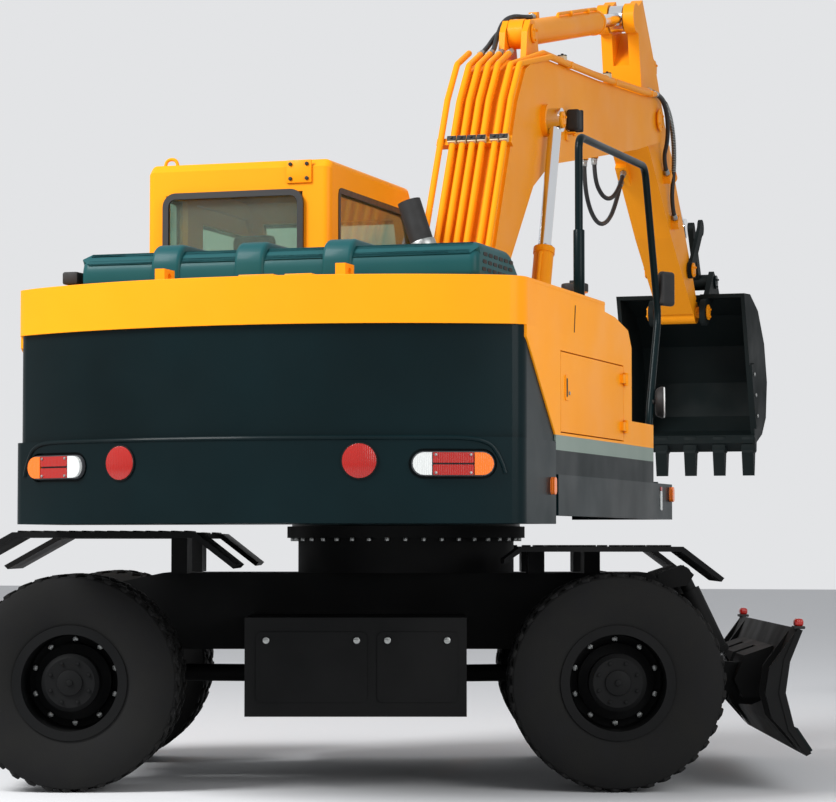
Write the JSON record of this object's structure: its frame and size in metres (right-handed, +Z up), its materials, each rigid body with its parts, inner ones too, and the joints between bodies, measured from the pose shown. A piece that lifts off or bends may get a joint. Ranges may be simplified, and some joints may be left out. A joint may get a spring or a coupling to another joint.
{
  "type": "wheeled excavator",
  "caption": "Wheeled excavator with a slewing cab and engine deck, a raised one-piece boom, arm and bucket, twin tyres and a dozer blade.",
  "frame": {"origin": "on the ground, under the centre of the box of the whole machine", "axes": "+Y along the boom, +X to the operator's right, +Z up; the undercarriage stands 18 degrees round from X"},
  "size_m": [4.7329, 9.33, 4.8704],
  "materials": {
    "orange_paint": "semi-gloss enamel",
    "green_paint": "semi-gloss enamel",
    "black_paint": "satin",
    "tyre_rubber": "matte",
    "hose_rubber": "smooth",
    "chrome_rod": "polished",
    "lamp_plastic": "clear moulded",
    "window_glass": "clear",
    "seat_fabric": "woven",
    "interior_plastic": "grained",
    "engine_iron": "as cast"
  },
  "bodies": {
    "undercarriage": {"chassis_frame": "black_paint", "mudguards": "black_paint", "rear_axle": "black_paint", "front_axle": "black_paint", "drive_line": "black_paint"},
    "upper": {"upper_frame": "green_paint", "counterweight": "green_paint", "tail_lamps": "lamp_plastic", "rear_cover": "orange_paint", "engine_block": "engine_iron", "right_housing": "orange_paint", "left_housing": "orange_paint", "handrail": "green_paint", "exhaust": "black_paint", "fuel_filler": "orange_paint", "cab_right_wall": "orange_paint", "cab_left_wall": "orange_paint", "cab_rear_wall": "orange_paint", "cab_roof": "orange_paint", "cab_front_frame": "orange_paint", "cab_floor": "orange_paint", "cab_glass": "window_glass", "operator_seat": "seat_fabric", "cab_controls": "interior_plastic"},
    "knuckle_left": {"knuckle_left": "black_paint"},
    "knuckle_right": {"knuckle_right": "black_paint"},
    "tie_rod": {"tie_rod": "black_paint"},
    "blade": {"blade": "black_paint"},
    "blade_barrels": {"blade_barrels": "black_paint"},
    "blade_rods": {"blade_rods": "chrome_rod"},
    "hood": {"engine_hood": "green_paint"},
    "right_door": {"right_service_door": "orange_paint"},
    "left_door": {"left_service_door": "orange_paint"},
    "cab_door": {"cab_door": "orange_paint", "door_glass": "window_glass"},
    "boom": {"boom": "orange_paint", "boom_pipes": "orange_paint", "boom_lamp": "black_paint", "arm_hoses": "hose_rubber", "nose_hoses": "hose_rubber"},
    "lift_barrels": {"lift_barrels": "orange_paint"},
    "lift_rods": {"lift_rods": "chrome_rod"},
    "arm_barrel": {"arm_barrel": "orange_paint"},
    "arm_rod": {"arm_rod": "chrome_rod"},
    "arm": {"arm": "orange_paint"},
    "curl_barrel": {"curl_barrel": "orange_paint"},
    "curl_rod": {"curl_rod": "chrome_rod"},
    "rocker": {"rocker": "green_paint"},
    "bucket_link": {"bucket_link": "green_paint"},
    "bucket": {"bucket": "green_paint"},
    "front_wheel_left": {"front_tyres_left": "tyre_rubber", "front_rim_left": "black_paint"},
    "rear_wheel_left": {"rear_tyres_left": "tyre_rubber", "rear_rim_left": "black_paint"},
    "front_wheel_right": {"front_tyres_right": "tyre_rubber", "front_rim_right": "black_paint"},
    "rear_wheel_right": {"rear_tyres_right": "tyre_rubber", "rear_rim_right": "black_paint"}
  },
  "joints": [
    {"name": "slew", "type": "hinge", "parent": "undercarriage", "child": "upper", "pos_m": [0.12, -2.215, 1.29], "axis": [0, 0, 1], "continuous": true},
    {"name": "steer_left", "type": "hinge", "parent": "undercarriage", "child": "knuckle_left", "pos_m": [-1.23839, -3.27673, 0.527], "axis": [0, 0, 1], "range_deg": [-28, 28]},
    {"name": "front_wheel_left_spin", "type": "hinge", "parent": "knuckle_left", "child": "front_wheel_left", "pos_m": [-1.12498, -3.62577, 0.527], "axis": [-0.309, 0.9511, 0], "continuous": true},
    {"name": "rear_wheel_left_spin", "type": "hinge", "parent": "undercarriage", "child": "rear_wheel_left", "pos_m": [1.39532, -2.80687, 0.527], "axis": [-0.309, 0.9511, 0], "continuous": true},
    {"name": "steer_right", "type": "hinge", "parent": "undercarriage", "child": "knuckle_right", "pos_m": [-1.60303, -2.15448, 0.527], "axis": [0, 0, 1], "range_deg": [-28, 28]},
    {"name": "front_wheel_right_spin", "type": "hinge", "parent": "knuckle_right", "child": "front_wheel_right", "pos_m": [-1.71644, -1.80545, 0.527], "axis": [-0.309, 0.9511, 0], "continuous": true},
    {"name": "rear_wheel_right_spin", "type": "hinge", "parent": "undercarriage", "child": "rear_wheel_right", "pos_m": [0.80386, -0.98655, 0.527], "axis": [-0.309, 0.9511, 0], "continuous": true},
    {"name": "tie_rod_turn", "type": "hinge", "parent": "knuckle_left", "child": "tie_rod", "pos_m": [-1.48567, -3.35708, 0.577], "axis": [0, 0, 1], "range_deg": [-28.2, 28.2]},
    {"name": "blade_lift", "type": "hinge", "parent": "undercarriage", "child": "blade", "pos_m": [1.32784, -1.82255, 0.56], "axis": [0.309, -0.9511, 0], "range_deg": [-27, 25]},
    {"name": "blade_cylinder_turn", "type": "hinge", "parent": "undercarriage", "child": "blade_barrels", "pos_m": [1.48001, -1.77311, 1.04], "axis": [0.309, -0.9511, 0], "range_deg": [-12.34, 11.44]},
    {"name": "blade_cylinder_stroke", "type": "slide", "parent": "blade_barrels", "child": "blade_rods", "axis": [0.4081, 0.1326, -0.9033], "range_m": [-0.1522, 0.16422]},
    {"name": "hood_open", "type": "hinge", "parent": "upper", "child": "hood", "pos_m": [0.12, -3.445, 2.415], "axis": [-1, 0, 0], "range_deg": [0, 60]},
    {"name": "right_door_open", "type": "hinge", "parent": "upper", "child": "right_door", "pos_m": [1.379, -2.48, 1.9], "axis": [0, 0, 1], "range_deg": [0, 110]},
    {"name": "left_door_open", "type": "hinge", "parent": "upper", "child": "left_door", "pos_m": [-1.139, -3.033, 1.9], "axis": [0, 0, -1], "range_deg": [0, 110]},
    {"name": "cab_door_open", "type": "hinge", "parent": "upper", "child": "cab_door", "pos_m": [-1.123, -2.272, 2.3], "axis": [0, 0, 1], "range_deg": [0, 100]},
    {"name": "boom_lift", "type": "hinge", "parent": "upper", "child": "boom", "pos_m": [0.23, -1.905, 1.9], "axis": [1, 0, 0], "range_deg": [-55, 40]},
    {"name": "lift_cylinder_turn", "type": "hinge", "parent": "upper", "child": "lift_barrels", "pos_m": [0.23, -1.185, 1.66], "axis": [1, 0, 0], "range_deg": [-60.51, 44.06]},
    {"name": "lift_cylinder_stroke", "type": "slide", "parent": "lift_barrels", "child": "lift_rods", "axis": [0, 0.3162, 0.9487], "range_m": [-0.65972, 0.48034]},
    {"name": "arm_crowd", "type": "hinge", "parent": "boom", "child": "arm", "pos_m": [0.23, 2.385, 4.085], "axis": [-1, 0, 0], "range_deg": [-48, 78], "deforming": ["nose_hoses"]},
    {"name": "arm_cylinder_turn", "type": "hinge", "parent": "boom", "child": "arm_barrel", "pos_m": [0.23, -0.425, 4.205], "axis": [-1, 0, 0], "range_deg": [-0.94, 0.66], "deforming": ["arm_hoses"]},
    {"name": "arm_cylinder_stroke", "type": "slide", "parent": "arm_barrel", "child": "arm_rod", "axis": [0, 0.978, 0.2085], "range_m": [-0.55979, 0.90841]},
    {"name": "bucket_curl", "type": "hinge", "parent": "arm", "child": "bucket", "pos_m": [0.23, 3.795, 2.88], "axis": [-1, 0, 0], "range_deg": [-55, 115]},
    {"name": "rocker_turn", "type": "hinge", "parent": "arm", "child": "rocker", "pos_m": [0.23, 3.52451, 3.16378], "axis": [-1, 0, 0], "range_deg": [-35.4, 73.8]},
    {"name": "bucket_link_turn", "type": "hinge", "parent": "bucket", "child": "bucket_link", "pos_m": [0.23, 4.0861, 3.12426], "axis": [-1, 0, 0], "range_deg": [-78.4, 37.6]},
    {"name": "curl_cylinder_turn", "type": "hinge", "parent": "arm", "child": "curl_barrel", "pos_m": [0.23, 2.65123, 4.48888], "axis": [-1, 0, 0], "range_deg": [-4.4, 8.99]},
    {"name": "curl_cylinder_stroke", "type": "slide", "parent": "curl_barrel", "child": "curl_rod", "axis": [0, 0.776, -0.6307], "range_m": [-0.27025, 0.56289]}
  ],
  "couplings": [
    {"joint": "steer_right", "follows": "steer_left", "ratio": 1},
    {"joint": "tie_rod_turn", "follows": "steer_left", "ratio": -1},
    {"joint": "blade_cylinder_turn", "follows": "blade_lift", "ratio": 0.44962},
    {"joint": "blade_cylinder_stroke", "follows": "blade_lift", "m_per_rad": -0.34423},
    {"joint": "lift_cylinder_turn", "follows": "boom_lift", "ratio": 1.0965},
    {"joint": "lift_cylinder_stroke", "follows": "boom_lift", "m_per_rad": 0.68517},
    {"joint": "arm_cylinder_turn", "follows": "arm_crowd", "ratio": -0.009529},
    {"joint": "arm_cylinder_stroke", "follows": "arm_crowd", "m_per_rad": 0.66582},
    {"joint": "rocker_turn", "follows": "bucket_curl", "ratio": 0.64},
    {"joint": "bucket_link_turn", "follows": "bucket_curl", "ratio": -0.68},
    {"joint": "curl_cylinder_turn", "follows": "bucket_curl", "ratio": 0.076439},
    {"joint": "curl_cylinder_stroke", "follows": "bucket_curl", "m_per_rad": 0.27945}
  ]
}
